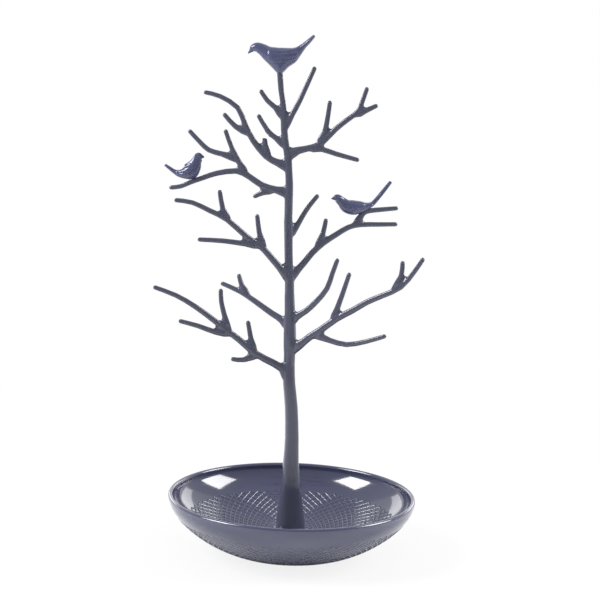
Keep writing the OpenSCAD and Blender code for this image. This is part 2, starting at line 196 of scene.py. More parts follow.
def new_group(name, inputs, output, kind):
    """An empty shader node group with named inputs (name, kind, default) and one output."""
    group = bpy.data.node_groups.new(name, "ShaderNodeTree")
    for label, input_kind, default in inputs:
        socket = group.interface.new_socket(name=label, in_out="INPUT", socket_type=input_kind)
        socket.default_value = default
    group.interface.new_socket(name=output, in_out="OUTPUT", socket_type=kind)
    return group, group.nodes.new("NodeGroupInput"), group.nodes.new("NodeGroupOutput")


def fill(node, **values):
    """Sets inputs of a node by their names, with _ for each space."""
    for key, value in values.items():
        node.inputs[key.replace("_", " ")].default_value = value
    return node


def add(tree, kind, **settings):
    """A new node, with its settings and the values of its inputs."""
    node = tree.nodes.new(kind)
    own = {key: value for key, value in settings.items() if key in node.bl_rna.properties}
    for key, value in own.items():
        setattr(node, key, value)
    return fill(node, **{key: value for key, value in settings.items() if key not in own})


def per_metre(group, length):
    """How many times a length fits in a metre."""
    share = add(group, "ShaderNodeMath", operation="DIVIDE")
    share.inputs[0].default_value = 1.0
    group.links.new(length, share.inputs[1])
    return share.outputs[0]


def mould_ripple_group():
    """Height of the long flow waves and the fine skin that a mould leaves on glossy plastic."""
    group, start, end = new_group(
        "Mould ripple",
        [("Wave Length", "NodeSocketFloat", 0.006), ("Skin Size", "NodeSocketFloat", 0.002),
         ("Skin Share", "NodeSocketFloat", 0.03)],
        "Height", "NodeSocketFloat")
    link = group.links.new
    place = add(group, "ShaderNodeTexCoord")
    mix = add(group, "ShaderNodeMix", data_type="FLOAT")
    link(start.outputs["Skin Share"], mix.inputs["Factor"])
    for size, slot in (("Wave Length", 2), ("Skin Size", 3)):
        noise = add(group, "ShaderNodeTexNoise", Detail=0.0)
        link(per_metre(group, start.outputs[size]), noise.inputs["Scale"])
        link(place.outputs["Object"], noise.inputs["Vector"])
        link(noise.outputs["Fac"], mix.inputs[slot])
    link(mix.outputs[0], end.inputs["Height"])
    return group


def handling_group():
    """Roughness of polished plastic with soft patches dulled by hands."""
    group, start, end = new_group(
        "Handling marks",
        [("Polished", "NodeSocketFloat", 0.13), ("Dulled", "NodeSocketFloat", 0.24),
         ("Patch Size", "NodeSocketFloat", 0.02)],
        "Roughness", "NodeSocketFloat")
    link = group.links.new
    place = add(group, "ShaderNodeTexCoord")
    noise = add(group, "ShaderNodeTexNoise", Detail=5.0, Roughness=0.62)
    link(per_metre(group, start.outputs["Patch Size"]), noise.inputs["Scale"])
    link(place.outputs["Object"], noise.inputs["Vector"])
    ramp = add(group, "ShaderNodeMapRange", interpolation_type="SMOOTHSTEP",
               From_Min=0.42, From_Max=0.72)
    link(noise.outputs["Fac"], ramp.inputs["Value"])
    mix = add(group, "ShaderNodeMix", data_type="FLOAT")
    link(ramp.outputs["Result"], mix.inputs["Factor"])
    link(start.outputs["Polished"], mix.inputs[2])
    link(start.outputs["Dulled"], mix.inputs[3])
    link(mix.outputs[0], end.inputs["Roughness"])
    return group


def painted_edge_highlight_group():
    """Painted highlight: colour that grows paler where the surface turns sharply, for the light
    that sharp edges catch.
    """
    group, start, end = new_group(
        "Painted edge highlights",
        [("Color", "NodeSocketColor", (0.03, 0.03, 0.06, 1)),
         ("Edge Color", "NodeSocketColor", (0.08, 0.08, 0.12, 1)),
         ("From", "NodeSocketFloat", 0.54), ("To", "NodeSocketFloat", 0.68),
         ("Amount", "NodeSocketFloat", 0.5)],
        "Color", "NodeSocketColor")
    link = group.links.new
    shape = add(group, "ShaderNodeNewGeometry")
    ramp = add(group, "ShaderNodeMapRange", interpolation_type="SMOOTHSTEP")
    link(shape.outputs["Pointiness"], ramp.inputs["Value"])
    link(start.outputs["From"], ramp.inputs["From Min"])
    link(start.outputs["To"], ramp.inputs["From Max"])
    share = add(group, "ShaderNodeMath", operation="MULTIPLY")
    link(ramp.outputs["Result"], share.inputs[0])
    link(start.outputs["Amount"], share.inputs[1])
    mix = add(group, "ShaderNodeMix", data_type="RGBA")
    link(share.outputs[0], mix.inputs["Factor"])
    link(start.outputs["Color"], mix.inputs[6])
    link(start.outputs["Edge Color"], mix.inputs[7])
    link(mix.outputs[2], end.inputs["Color"])
    return group


EFFECTS = {"Mould ripple": mould_ripple_group, "Handling marks": handling_group,
           "Painted edge highlights": painted_edge_highlight_group}


def effect(tree, name, **values):
    """A node of a shared effect, which is made at its first use."""
    node = tree.nodes.new("ShaderNodeGroup")
    node.node_tree = bpy.data.node_groups.get(name) or EFFECTS[name]()
    return fill(node, **values)


def navy_plastic(name):
    """Glossy moulded navy plastic, in one of the finishes, with painted light: a lighter colour for
    each kind of piece, and painted highlights on its sharp edges.
    """
    found = bpy.data.materials.get(name)
    if found:
        return found
    finish_and_painted_light, look = FINISHES_AND_PAINTED_LIGHT[name], bpy.context.scene.tree_plastic
    # Painted light: the scale lightens this copy of the navy for how light falls on the piece.
    colour = (*(c * t for c, t in zip(look.navy, finish_and_painted_light["painted_light_tint"])), 1)
    material = bpy.data.materials.new(name)
    material.use_nodes = True
    tree = material.node_tree
    link = tree.links.new
    surface = fill(tree.nodes["Principled BSDF"], IOR=1.54, Specular_IOR_Level=0.5,
                   Coat_Weight=finish_and_painted_light["lacquer"], Coat_Roughness=0.07)
    # Painted highlight: the pale colour is mixed in along the sharpest edges.
    edges = effect(tree, "Painted edge highlights", Amount=EDGE_HIGHLIGHT_SHARE, Color=colour, Edge_Color=(*look.pale, 1))
    marks = effect(tree, "Handling marks", Polished=look.polish, Dulled=look.handled,
                   Patch_Size=finish_and_painted_light["patch"])
    waves = effect(tree, "Mould ripple", Wave_Length=finish_and_painted_light["wave"])
    bump = add(tree, "ShaderNodeBump", Strength=1.0, Distance=look.ripple * finish_and_painted_light["ripple"])
    link(edges.outputs["Color"], surface.inputs["Base Color"])
    link(marks.outputs["Roughness"], surface.inputs["Roughness"])
    link(waves.outputs["Height"], bump.inputs["Height"])
    link(bump.outputs["Normal"], surface.inputs["Normal"])
    return material


# ---- Meshes ----

def settle(name, mesh, body, material, replaced=()):
    """A finished piece: at the origin, smooth, with its material, on its body, in place of the CAD
    nodes that it replaces.
    """
    piece = bpy.data.objects.new(name, mesh)
    bpy.context.scene.collection.objects.link(piece)
    mesh.materials.clear()
    mesh.materials.append(material)
    mesh.polygons.foreach_set("material_index", [0] * len(mesh.polygons))
    mesh.polygons.foreach_set("use_smooth", [True] * len(mesh.polygons))
    mesh.update()
    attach(piece, body)
    if replaced:
        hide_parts(*replaced)
    return piece


def mesh_of(points, faces, name="shape"):
    mesh = bpy.data.meshes.new(name)
    mesh.from_pydata([tuple(p) for p in points], [], [tuple(f) for f in faces])
    mesh.update()
    return mesh


def outward(mesh):
    """Turns the faces of a closed mesh outward."""
    work = bmesh.new()
    work.from_mesh(mesh)
    bmesh.ops.recalc_face_normals(work, faces=work.faces)
    work.to_mesh(mesh)
    work.free()
    mesh.update()
    return mesh


def rod(low, high, width, sides=48, chamfer=0.0, depth=1.0, turn=0.0):
    """An upright rod from the point low (x, y, z) to a height, in metres. depth is its other width
    as a share of the first, and turn the angle of the first in degrees."""
    r, h = width / 2, high - low[2]
    rings = [(r, chamfer), (r, h - chamfer)]
    if chamfer:
        rings = [(r - chamfer, 0), *rings, (r - chamfer, h)]
    points = [Vector((radius * math.cos(math.tau * i / sides),
                      radius * depth * math.sin(math.tau * i / sides), up))
              for radius, up in rings for i in range(sides)]
    place = Matrix.Translation(low) @ Matrix.Rotation(math.radians(turn), 4, "Z")
    points = [place @ p for p in points]
    faces = [list(range(sides))[::-1], [(len(rings) - 1) * sides + i for i in range(sides)]]
    for k in range(len(rings) - 1):
        for i in range(sides):
            j = (i + 1) % sides
            faces.append([k * sides + i, k * sides + j, (k + 1) * sides + j, (k + 1) * sides + i])
    return mesh_of(points, faces, "rod")


def joined(meshes, name="joined"):
    """The meshes side by side in one."""
    points, faces = [], []
    for mesh in meshes:
        start = len(points)
        points += [v.co.copy() for v in mesh.vertices]
        faces += [[start + i for i in p.vertices] for p in mesh.polygons]
    return mesh_of(points, faces, name)


def evaluated(mesh, *modifiers):
    """The mesh after modifiers (kind, settings), as a new plain mesh."""
    stand = bpy.data.objects.new("stand", mesh)
    bpy.context.scene.collection.objects.link(stand)
    for kind, settings in modifiers:
        modifier = stand.modifiers.new(kind, kind)
        for key, value in settings.items():
            setattr(modifier, key, value)
    result = bpy.data.meshes.new_from_object(
        stand.evaluated_get(bpy.context.evaluated_depsgraph_get()))
    bpy.data.objects.remove(stand)
    return result


def merged_copy(node):
    """A CAD node's mesh, copied and with its loose triangles joined."""
    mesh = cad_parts[node].data.copy()
    return evaluated(mesh, ("WELD", {"merge_threshold": 2e-6}))


def remeshed(mesh, size):
    """The mesh's outer skin in even faces of the given size."""
    return evaluated(mesh, ("REMESH", {"mode": "VOXEL", "voxel_size": size, "adaptivity": 0.0}))


def relaxed(mesh, rounds, pull=0.5, push=-0.52):
    """Evens the mesh out without shrinking it, by a pull in and a push out in each round."""
    n = len(mesh.vertices)
    place = np.zeros(n * 3)
    mesh.vertices.foreach_get("co", place)
    place = place.reshape(-1, 3)
    edges = np.zeros(len(mesh.edges) * 2, int)
    mesh.edges.foreach_get("vertices", edges)
    a, b = edges.reshape(-1, 2).T
    count = np.bincount(a, minlength=n) + np.bincount(b, minlength=n)
    for step in [pull, push] * rounds:
        total = np.stack([np.bincount(a, place[b, i], n) + np.bincount(b, place[a, i], n)
                          for i in range(3)], 1)
        place = place + step * (total / count[:, None] - place)
    mesh.vertices.foreach_set("co", place.ravel())
    mesh.update()
    return mesh


def grown(mesh, distance):
    """Moves every vertex along its normal."""
    n = len(mesh.vertices)
    place, normal = np.zeros(n * 3), np.zeros(n * 3, np.float32)
    mesh.vertices.foreach_get("co", place)
    mesh.vertex_normals.foreach_get("vector", normal)
    mesh.vertices.foreach_set("co", place + normal * distance)
    mesh.update()
    return mesh


def cut(mesh, *tools):
    """Cuts the tool meshes away from the mesh, exactly."""
    for tool in tools:
        knife = bpy.data.objects.new("knife", tool)
        bpy.context.scene.collection.objects.link(knife)
        mesh = evaluated(mesh, ("BOOLEAN", {"operation": "DIFFERENCE", "object": knife,
                                            "solver": "MANIFOLD"}))
        bpy.data.objects.remove(knife)
    return mesh


def webbed(mesh, reach, size):
    """Fills the crotches of a mesh with webs of radius reach, and smooths its facets away."""
    mesh = relaxed(remeshed(mesh, size), 12)
    mesh = relaxed(remeshed(grown(mesh, reach), size * 1.1), 8)
    mesh = relaxed(grown(mesh, -reach * 0.985), 5)
    return mesh


# ---- The tree ----

def wedge(k, corners, half_depth=6.0):
    """A prism across the plane of section k, in metres, over corners [sideways, up] from its foot
    in millimetres."""
    place = (Matrix.Translation(foot(k) * MM) @ Matrix.Rotation(math.radians(TURN[k]), 4, "Z")
             @ Matrix.Scale(MM, 4))
    n = len(corners)
    points = [place @ Vector((x, y, z)) for y in (-half_depth, half_depth) for x, z in corners]
    faces = [list(range(n)), list(range(n, 2 * n))[::-1]]
    faces += [[(i + 1) % n, i, n + i, n + (i + 1) % n] for i in range(n)]
    return outward(mesh_of(points, faces, "wedge"))


def lowered(point, drop):
    """The point in metres, lower by a drop in millimetres."""
    return Vector((point.x, point.y, point.z - drop * MM))


def section(k, node, body, name, trims=()):
    """Section k of the tree as one smooth moulding, with its spigot or peg and its socket. trims
    are corners of wedges that are taken off it."""
    sizes = bpy.context.scene.tree_sizes
    low, high = foot(k) * MM, foot(k + 1) * MM
    below = (ROOT_WIDTH if k == 0 else JOINT_WIDTH[k - 1]) * MM
    wedges = [wedge(k, trim) for trim in trims]
    parts = [cut(merged_copy(node), *wedges),
             rod(lowered(low, STUB), low.z + OVERLAP * MM, below * STUB_SHARE,
                 depth=DEPTH, turn=TURN[k])]
    cuts = [rod(lowered(low, CUT_REACH), low.z, below + CUT_WIDER * MM)]
    if k:
        hole = below - 2 * SOCKET_WALL * MM
        parts.append(rod(lowered(low, PLUG_PAST), low.z + (SPIGOT_LENGTH + PLUG_PAST) * MM,
                         hole + PLUG_WIDER * MM))
        cuts.append(rod(lowered(low, PLUG_PAST), low.z + (SPIGOT_LENGTH + END_GAP) * MM, hole))
    if k < len(JOINT_WIDTH):
        above = JOINT_WIDTH[k] * MM
        parts.append(rod(lowered(high, OVERLAP), high.z + STUB * MM, above * STUB_SHARE,
                         depth=DEPTH, turn=TURN[k]))
        cuts.append(rod(high, high.z + CUT_REACH * MM, above + CUT_WIDER * MM))
    shells = [cut(webbed(joined(parts), sizes.crotch, sizes.grain), *cuts, *wedges)]
    if k == 0:
        shells.append(rod(lowered(low, ROOT_PEG_LENGTH), low.z + END_GAP * MM, ROOT_PEG_WIDTH * MM,
                          sides=64, chamfer=0.5 * MM))
    if k < len(JOINT_WIDTH):
        width = JOINT_WIDTH[k] - 2 * SOCKET_WALL - 2 * FIT_GAP
        shells.append(rod(lowered(high, END_GAP), high.z + SPIGOT_LENGTH * MM, width * MM,
                          sides=40, chamfer=0.3 * MM))
    return settle(name, joined(shells, name), body, navy_plastic("Tree plastic"), [node])


class TREE_OT_trunk_sections(bpy.types.Operator):
    """Mould the four trunk sections with their branches"""
    bl_idname = "tree.trunk_sections"
    bl_label = "Trunk sections"

    def execute(self, context):
        section(0, "trunk_base", "root_section", "root_moulding")
        section(1, "lower_tier", "lower_section", "lower_moulding")
        section(2, "upper_tier", "upper_section", "upper_moulding")
        section(3, "crown", "crown_section", "crown_moulding", [TWIG_GAP])
        return {"FINISHED"}


# ---- The birds ----

# Rows of a bird from the beak to the tail: [forward, up, height, breadth], in millimetres
# from the perch below it. A positive forward points the way the section's line runs.
BROADEST = 10.8  # breadth of the largest bird
WING_STEP, QUILL_STEP, QUILL_ROW = 0.62, 0.2, 2.1  # its wings' relief, and the spacing of feathers
TOP_BIRD = [
    (-19.7, 10.9, 0.6, 0.6), (-18.2, 12.4, 2.3, 2.2), (-16.7, 14, 4.6, 4.6),
    (-14.3, 14.7, 5.9, 6.2), (-11.2, 13.5, 7.1, 7.4), (-7.7, 11.1, 9.2, 9.2),
    (-4, 9.1, 12.4, 10.4), (-1.5, 7.65, 14.9, 10.7), (0.3, 6.65, 17, 10.8),
    (2.1, 7.65, 14.9, 10.5), (4.5, 9.2, 11.9, 9.8), (8.1, 10.8, 9.1, 8), (11, 13.4, 5.8, 6.2),
    (14.1, 16.7, 3.6, 5.4), (17.3, 19.9, 2.8, 5.2), (20.2, 23, 1.8, 4.4)]
LEFT_BIRD = [
    (7.6, 14, 0.5, 0.5), (6.3, 14.2, 2.5, 2.2), (4.3, 14, 5.8, 5), (2.8, 11.6, 6.6, 5.6),
    (1.4, 8.5, 9.2, 7.4), (-1.1, 5.2, 10.8, 8), (-4.4, 3.8, 7.4, 6.8), (-7.8, 3.5, 4.6, 4.6),
    (-10.7, 4.5, 2.8, 3.6), (-13.5, 6.3, 2.2, 3.6), (-16.5, 8.3, 1.6, 3.2)]
RIGHT_BIRD = [
    (-19.8, 9.5, 0.5, 0.5), (-18.3, 9.8, 2.2, 2), (-16.1, 10, 4.8, 4.4), (-13.1, 7.8, 6.1, 5.2),
    (-9.7, 5, 8.3, 7.2), (-5.4, 4, 9.2, 8), (-0.8, 4.3, 7.6, 7), (3.1, 4.8, 4.8, 5.2),
    (6.7, 6, 3, 4), (9.5, 8.7, 2.6, 3.8), (13.9, 14, 2.5, 3.8), (18.6, 19.9, 1.9, 3.4)]


def smooth_rows(rows, steps):
    """Rows along a smooth curve through the given rows."""
    rows = np.array(rows, float)
    last = len(rows) - 1
    result = []
    for i in range(last):
        a, b, c, d = rows[max(i - 1, 0)], rows[i], rows[i + 1], rows[min(i + 2, last)]
        for k in range(steps):
            t = k / steps
            result.append(0.5 * (2 * b + (c - a) * t + (2 * a - 5 * b + 4 * c - d) * t ** 2
                                 + (3 * b - a - 3 * c + d) * t ** 3))
    result.append(rows[last])
    return np.array(result)


def blob(centre, radius, squeeze=(1, 1, 1), rings=10, sides=16):
    """A small closed egg, for an eye."""
    points = [(0, 0, 1)]
    for i in range(1, rings):
        a = math.pi * i / rings
        for b in (math.tau * j / sides for j in range(sides)):
            points.append((math.sin(a) * math.cos(b), math.sin(a) * math.sin(b), math.cos(a)))
    points.append((0, 0, -1))
    faces = [[0, 1 + j, 1 + (j + 1) % sides] for j in range(sides)]
    for i in range(rings - 2):
        for j in range(sides):
            a, b = 1 + i * sides + j, 1 + i * sides + (j + 1) % sides
            faces.append([a, a + sides, b + sides, b])
    end = len(points) - 1
    faces += [[end, end - 1 - j, end - 1 - (j + 1) % sides] for j in range(sides)]
    return mesh_of([[centre[i] + p[i] * radius * squeeze[i] for i in range(3)] for p in points],
                   faces, "blob")


def step_up(x, low, high):
    """0 below low, 1 above high, and a smooth step between them."""
    t = np.clip((x - low) / (high - low), 0, 1)
    return t * t * (3 - 2 * t)


def unfold_wings(points, wing, relief):
    """Lets the flanks of a bird stand out above the wings' lower edge, in rows of feathers. wing is
    (front, back, edge at the front, in the middle, at the back)."""
    front, back, edge_front, edge_middle, edge_back = wing
    share = np.clip((points[:, 0] - front) / (back - front), 0, 1)
    edge = (edge_front * (1 - share) ** 2 + 2 * edge_middle * share * (1 - share)
            + edge_back * share ** 2)
    inside = step_up(points[:, 2], edge - 0.15, edge + 0.3)
    ends = step_up(share, 0.0, 0.12) * (1 - step_up(share, 0.90, 0.98))
    flank = step_up(np.abs(points[:, 1]), 0.5, 1.6)
    quills = (QUILL_STEP * relief * np.cos(math.tau * (points[:, 2] - edge) / QUILL_ROW)
              * step_up(share, 0.15, 0.4))
    points[:, 1] += np.sign(points[:, 1]) * relief * (WING_STEP + quills) * inside * ends * flank


def bird_mesh(rows, wing, eye, upright=0.0, sides=120, steps=10):
    """A moulded bird: its body lofted through its rows, with folded wings and two eyes. eye is
    (forward, aside, up, radius). The rings lean with the body's line. Where it sags under the
    wings they are set more upright, by the share upright, so that they never cross."""
    fine = smooth_rows(rows, steps)
    count = len(fine)
    heading = np.arctan2(np.gradient(fine[:, 1]), np.gradient(fine[:, 0]))
    middle, reach = (wing[0] + wing[1]) / 2, 0.42 * abs(rows[-1][0] - rows[0][0])
    heading *= 1 - upright * (1 - np.clip(np.abs(fine[:, 0] - middle) / reach, 0, 1))
    points = []
    for (forward, up, height, breadth), lean in zip(fine, heading + math.pi / 2):
        for j in range(sides):
            a = math.tau * (j + 0.5) / sides
            rise = height / 2 * math.cos(a)
            points.append((forward + rise * math.cos(lean), breadth / 2 * math.sin(a),
                           up + rise * math.sin(lean)))
    points = np.array(points)
    unfold_wings(points, wing, fine[:, 3].max() / BROADEST)
    faces = [[i * sides + j, i * sides + (j + 1) % sides,
              (i + 1) * sides + (j + 1) % sides, (i + 1) * sides + j]
             for i in range(count - 1) for j in range(sides)]
    faces.append(list(range(sides))[::-1])
    faces.append([(count - 1) * sides + j for j in range(sides)])
    forward, aside, up, radius = eye
    eyes = [blob((forward, side * aside, up), radius, (1, 0.55, 1)) for side in (-1, 1)]
    return joined([mesh_of(points, faces, "bird")] + eyes, "bird")


def place_bird(name, mesh, k, perch, body, node):
    """Stands a bird drawn in millimetres on its perch [sideways, up] of section k."""
    a = math.radians(TURN[k])
    at = foot(k) + Vector((perch[0] * math.cos(a), perch[0] * math.sin(a), perch[1]))
    mesh.transform(Matrix.Rotation(a, 4, "Z"))
    mesh.transform(Matrix.Translation(at))
    mesh.transform(Matrix.Scale(MM, 4))
    return settle(name, outward(mesh), body, navy_plastic("Bird plastic"), [node])


class TREE_OT_birds(bpy.types.Operator):
    """Set the three birds on their perches"""
    bl_idname = "tree.birds"
    bl_label = "Birds"

    def execute(self, context):
        top = bird_mesh(TOP_BIRD, (-8, 12, 7.6, 5.3, 9.6), (-15.8, 2.3, 15, 0.55), upright=1.0)
        # Its keel is cut level where it stands on the tip of the trunk.
        top = cut(outward(top), rod(Vector((0, 0, -10)), 0, 24))
        place_bird("top_bird", top, 3, RISE[3], "crown_section", "bird_top")
        left = bird_mesh(LEFT_BIRD, (3.2, -10, 8.4, 2.2, 2.8), (4.6, 2.3, 14.4, 0.42))
        place_bird("left_bird", left, 3, (-60.4, 17.5), "crown_section", "bird_left")
        right = bird_mesh(RIGHT_BIRD, (-11.5, 7.5, 5.2, 2.2, 5.8), (-16.3, 2.0, 10.6, 0.42))
        place_bird("right_bird", right, 2, (44.9, 44.7), "upper_section", "bird_right")
        return {"FINISHED"}


# ---- The dish ----

def bezier(a, b, c, d, steps):
    """Points along a Bezier curve, both ends included."""
    t = np.linspace(0, 1, steps + 1)[:, None]
    a, b, c, d = (np.array(p, float) for p in (a, b, c, d))
    return (1 - t) ** 3 * a + 3 * (1 - t) ** 2 * t * b + 3 * (1 - t) * t ** 2 * c + t ** 3 * d


def wall_curves(s):
    """Bezier corners [radius, up] of the wall's outside, from the foot up, and of its inside."""
    rim, foot_edge = s.width / 2, s.foot_width / 2
    low_reach, low_rise, high_rise = 0.54 * (rim - foot_edge), 0.14 * s.height, 0.68 * s.height
    top = s.height - s.lip / 2
    outside = [(foot_edge, 0), (foot_edge + low_reach, low_rise), (rim, high_rise), (rim, top)]
    inside = [(foot_edge, s.floor), (foot_edge + low_reach - s.wall, low_rise + s.floor),
              (rim - s.wall, high_rise), (rim - s.wall, top)]
    return outside, inside


def dish_outline(s):
    """The dish's whole section, from the middle of its foot round the lip to the hub's socket."""
    outside, inside = wall_curves(s)
    lip, hub, hollow = s.lip / 2, s.hub_width / 2, s.foot_hollow
    foot_edge = s.foot_width / 2
    ring = foot_edge - s.foot_ring
    r = 0.4 * MM  # of the foot's edges
    points = [(0, 0), (hub - r, 0), (hub, r), (hub, hollow - r / 2), (hub + r / 2, hollow),
              (ring - r / 2, hollow), (ring, hollow - r / 2), (ring, r), (ring + r, 0),
              (foot_edge - r, 0)]
    points += [tuple(p) for p in bezier(*outside, 40)[1:]]
    middle, up = s.width / 2 - lip, s.height - lip
    points += [(middle + lip * math.cos(a), up + lip * math.sin(a))
               for a in np.radians(np.linspace(0, 214, 22))[1:]]
    # A fine line runs below the rolled lip: the wall starts a little inside it.
    points += [tuple(p) for p in bezier(*inside, 44)[::-1] if p[1] < up - 0.95 * lip]
    fillet = 3 * MM  # from the floor to the hub
    points += [(hub + fillet * (1 - math.sin(a)), s.floor + fillet * (1 - math.cos(a)))
               for a in np.radians(np.linspace(0, 90, 7))]
    hole, top = (ROOT_PEG_WIDTH / 2 + FIT_GAP) * MM, s.hub_height
    deep = top - (ROOT_PEG_LENGTH + END_GAP) * MM
    round_edge, round_middle, bevel = 0.5 * MM, 0.15 * MM, 0.3 * MM
    points += [(hub, top - round_edge), (hub - round_middle, top - round_middle),
               (hub - round_edge, top), (hole + bevel, top), (hole, top - bevel), (hole, deep),
               (0, deep)]
    return points


def turned_solid(outline, sides):
    """A closed solid of revolution about the Z axis, from an outline that starts and ends on it."""
    inner = outline[1:-1]
    n = len(inner)
    points = [(0, 0, outline[0][1]), (0, 0, outline[-1][1])]
    for i in range(sides):
        a = math.tau * i / sides
        points += [(r * math.cos(a), r * math.sin(a), z) for r, z in inner]
    faces = []
    for i in range(sides):
        p, q = 2 + i * n, 2 + (i + 1) % sides * n
        faces.append([0, q, p])
        faces.append([1, p + n - 1, q + n - 1])
        faces += [[p + k, q + k, q + k + 1, p + k + 1] for k in range(n - 1)]
    return mesh_of(points, faces, "dish")


def lattice_tree(name, material):
    """Geometry Nodes: thin raised ribs that climb a turned wall on a slant, one way and the other.
    The wall is a Bezier curve in the XZ plane. Each rib turns about Z as it climbs."""
    tree = bpy.data.node_groups.new(name, "GeometryNodeTree")
    interface = tree.interface
    interface.new_socket(name="Geometry", in_out="OUTPUT", socket_type="NodeSocketGeometry")
    for label in ("Foot", "Foot Handle", "Lip Handle", "Lip"):
        interface.new_socket(name=label, in_out="INPUT", socket_type="NodeSocketVector")
    for label, kind, default in (
            ("First", "Float", 0.1), ("Last", "Float", 0.7), ("Ribs", "Int", 80),
            ("Slant", "Float", 0.7), ("Rib Width", "Float", 0.001), ("Rib Steps", "Int", 16)):
        socket = interface.new_socket(name=label, in_out="INPUT", socket_type="NodeSocket" + kind)
        socket.default_value = default
    start, end = add(tree, "NodeGroupInput"), add(tree, "NodeGroupOutput")
    link = tree.links.new

    def math_node(operation, *values):
        node = add(tree, "ShaderNodeMath", operation=operation)
        for i, value in enumerate(values):
            if isinstance(value, (int, float)):
                node.inputs[i].default_value = value
            else:
                link(value, node.inputs[i])
        return node.outputs[0]

    line = add(tree, "GeometryNodeCurvePrimitiveBezierSegment", mode="POSITION", Resolution=64)
    for socket, label in (("Start", "Foot"), ("Start Handle", "Foot Handle"),
                          ("End Handle", "Lip Handle"), ("End", "Lip")):
        link(start.outputs[label], line.inputs[socket])
    trim = add(tree, "GeometryNodeTrimCurve", mode="FACTOR")
    link(line.outputs["Curve"], trim.inputs["Curve"])
    for socket, label in (("Start", "First"), ("End", "Last")):
        link(start.outputs[label], next(i for i in trim.inputs if i.enabled and i.name == socket))
    even = add(tree, "GeometryNodeResampleCurve")
    link(trim.outputs["Curve"], even.inputs["Curve"])
    link(start.outputs["Rib Steps"], even.inputs["Count"])

    around = add(tree, "GeometryNodeMeshLine", Offset=(0, 0, 0))
    link(start.outputs["Ribs"], around.inputs["Count"])
    along = add(tree, "GeometryNodeSplineParameter")
    number = add(tree, "GeometryNodeInputIndex")
    climb = math_node("MULTIPLY", along.outputs["Factor"], start.outputs["Slant"])
    share = math_node("DIVIDE", math_node("MULTIPLY", number.outputs[0], math.tau),
                      start.outputs["Ribs"])
    gather = add(tree, "GeometryNodeJoinGeometry")
    for side in (1.0, -1.0):
        where = add(tree, "GeometryNodeInputPosition")
        turn = add(tree, "ShaderNodeVectorRotate", rotation_type="Z_AXIS")
        link(where.outputs[0], turn.inputs["Vector"])
        link(math_node("MULTIPLY", climb, side), turn.inputs["Angle"])
        slanted = add(tree, "GeometryNodeSetPosition")
        link(even.outputs["Curve"], slanted.inputs["Geometry"])
        link(turn.outputs[0], slanted.inputs["Position"])
        ring = add(tree, "GeometryNodeCurvePrimitiveCircle", mode="RADIUS", Resolution=6)
        link(math_node("MULTIPLY", start.outputs["Rib Width"], 0.5), ring.inputs["Radius"])
        rib = add(tree, "GeometryNodeCurveToMesh", Fill_Caps=True)
        link(slanted.outputs["Geometry"], rib.inputs["Curve"])
        link(ring.outputs["Curve"], rib.inputs["Profile Curve"])
        spread = add(tree, "GeometryNodeInstanceOnPoints")
        link(around.outputs["Mesh"], spread.inputs["Points"])
        link(rib.outputs["Mesh"], spread.inputs["Instance"])
        spin = add(tree, "ShaderNodeCombineXYZ")
        link(share, spin.inputs["Z"])
        rotation = add(tree, "FunctionNodeEulerToRotation")
        link(spin.outputs[0], rotation.inputs[0])
        link(rotation.outputs[0], spread.inputs["Rotation"])
        link(spread.outputs["Instances"], gather.inputs["Geometry"])
    real = add(tree, "GeometryNodeRealizeInstances")
    link(gather.outputs["Geometry"], real.inputs["Geometry"])
    paint = add(tree, "GeometryNodeSetMaterial", Material=material)
    link(real.outputs["Geometry"], paint.inputs["Geometry"])
    link(paint.outputs["Geometry"], end.inputs["Geometry"])
    return tree


def grown_from_nodes(name, tree, values):
    """The plain mesh that a Geometry Nodes tree makes with the given input values."""
    base = bpy.data.objects.new(name, bpy.data.meshes.new(name))
    bpy.context.scene.collection.objects.link(base)
    modifier = base.modifiers.new("Nodes", "NODES")
    modifier.node_group = tree
    for item in tree.interface.items_tree:
        if item.item_type == "SOCKET" and item.in_out == "INPUT":
            modifier[item.identifier] = values[item.name]
    mesh = bpy.data.meshes.new_from_object(
        base.evaluated_get(bpy.context.evaluated_depsgraph_get()))
    base.modifiers.remove(modifier)
    bpy.data.objects.remove(base)
    return mesh


class TREE_OT_dish(bpy.types.Operator):
    """Turn the dish with its lip, foot and hub"""
    bl_idname = "tree.dish"
    bl_label = "Dish"

    def execute(self, context):
        mesh = outward(turned_solid(dish_outline(context.scene.tree_dish), 288))
        settle("dish_shell", mesh, "dish", navy_plastic("Dish plastic"), ["dish"])
        return {"FINISHED"}


class TREE_OT_lattice(bpy.types.Operator):
    """Raise the fine diamond lattice on the lower wall, inside and outside"""
    bl_idname = "tree.lattice"
    bl_label = "Lattice"

    def execute(self, context):
        s = context.scene.tree_dish
        material = navy_plastic("Dish plastic")
        tree = lattice_tree("Wall lattice", material)
        outside, inside = wall_curves(s)
        for name, curve, out, first, last, width in (
                ("inner_lattice", inside, 1, 0.06, 0.68, s.rib_width),
                ("outer_lattice", outside, -1, 0.14, 0.78, 0.6 * s.rib_width)):
            sunk = 0.27 * width  # below the wall's surface, along the slope of the wall
            corners = [Vector((r + out * sunk * 0.75, 0, z - out * sunk * 0.65)) for r, z in curve]
            mesh = grown_from_nodes(name, tree, {
                "Foot": corners[0], "Foot Handle": corners[1],
                "Lip Handle": corners[2], "Lip": corners[3],
                "First": first, "Last": last, "Ribs": s.ribs, "Slant": s.rib_slant,
                "Rib Width": width, "Rib Steps": 16})
            settle(name, outward(mesh), "dish", material)
        return {"FINISHED"}


# ---- The stage ----

